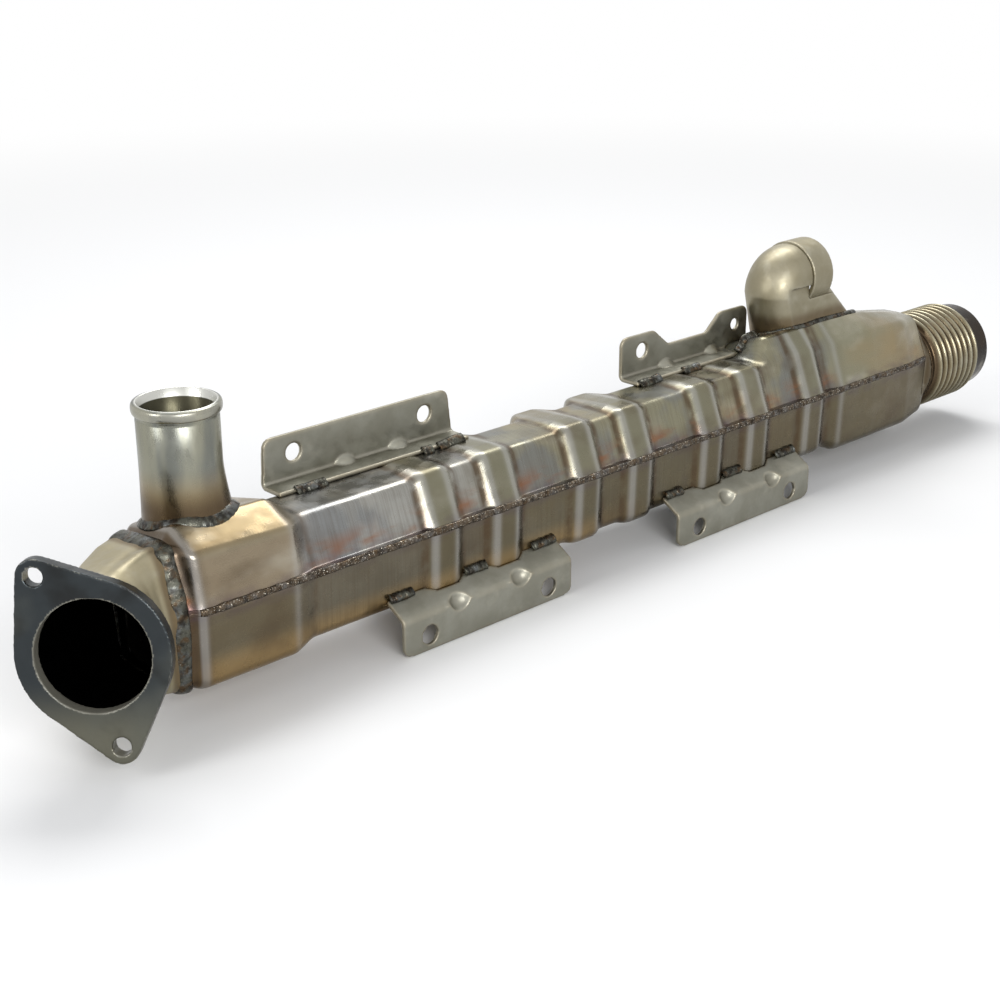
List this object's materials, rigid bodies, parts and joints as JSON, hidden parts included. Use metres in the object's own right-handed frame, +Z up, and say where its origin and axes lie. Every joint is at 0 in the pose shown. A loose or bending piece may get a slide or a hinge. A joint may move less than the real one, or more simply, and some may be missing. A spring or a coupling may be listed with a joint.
{
  "type": "exhaust gas recirculation cooler",
  "caption": "Long sheet-steel gas cooler with a tilted inlet flange, stamped ribbed shells, coolant pipes, bent mounting brackets and a bellows outlet.",
  "frame": {"origin": "middle of the front left bracket's two bolt holes, on the plate's front face", "axes": "+X along the cooler from the gas inlet flange to the bellows, +Y towards the rear brackets, +Z up towards the coolant pipes"},
  "size_m": [0.961, 0.1224, 0.1934],
  "materials": {
    "shell_steel": "stamped stainless sheet, olive grey with a straw heat tint",
    "duct_steel": "stainless sheet with a brown and bluish heat tint",
    "pipe_steel": "satin stainless tube and pressed sheet",
    "flange_steel": "dark machined steel plate",
    "weld_bead": "grey and bluish weld bead with ripples",
    "bracket_steel": "matt grey-green pressed steel plate",
    "bellows_steel": "bright thin stainless convolutions with a gold tint",
    "dark_collar": "dark glossy steel collar",
    "core_steel": "plain stainless tubes and plates inside the shells"
  },
  "bodies": {
    "root": {"inlet_flange": "flange_steel", "inlet_transition": "duct_steel", "inlet_header": "core_steel", "inlet_end_weld": "weld_bead", "upper_shell": "shell_steel", "lower_shell": "shell_steel", "seam_weld_front": "weld_bead", "seam_weld_rear": "weld_bead", "coolant_inlet_pipe": "pipe_steel", "coolant_inlet_weld": "weld_bead", "coolant_outlet_hood": "pipe_steel", "coolant_outlet_pipe": "pipe_steel", "coolant_outlet_weld": "weld_bead", "outlet_header": "core_steel", "outlet_cap": "duct_steel", "bellows": "bellows_steel", "bellows_sleeve": "bellows_steel", "bellows_end_collar": "dark_collar", "front_left_bracket": "bracket_steel", "front_right_bracket": "bracket_steel", "rear_left_bracket": "bracket_steel", "rear_right_bracket": "bracket_steel", "gas_tube_1": "core_steel", "gas_tube_2": "core_steel", "gas_tube_3": "core_steel", "gas_tube_4": "core_steel", "gas_tube_5": "core_steel", "gas_tube_6": "core_steel", "baffle_1": "core_steel", "baffle_2": "core_steel", "baffle_3": "core_steel", "baffle_4": "core_steel"}
  },
  "joints": []
}
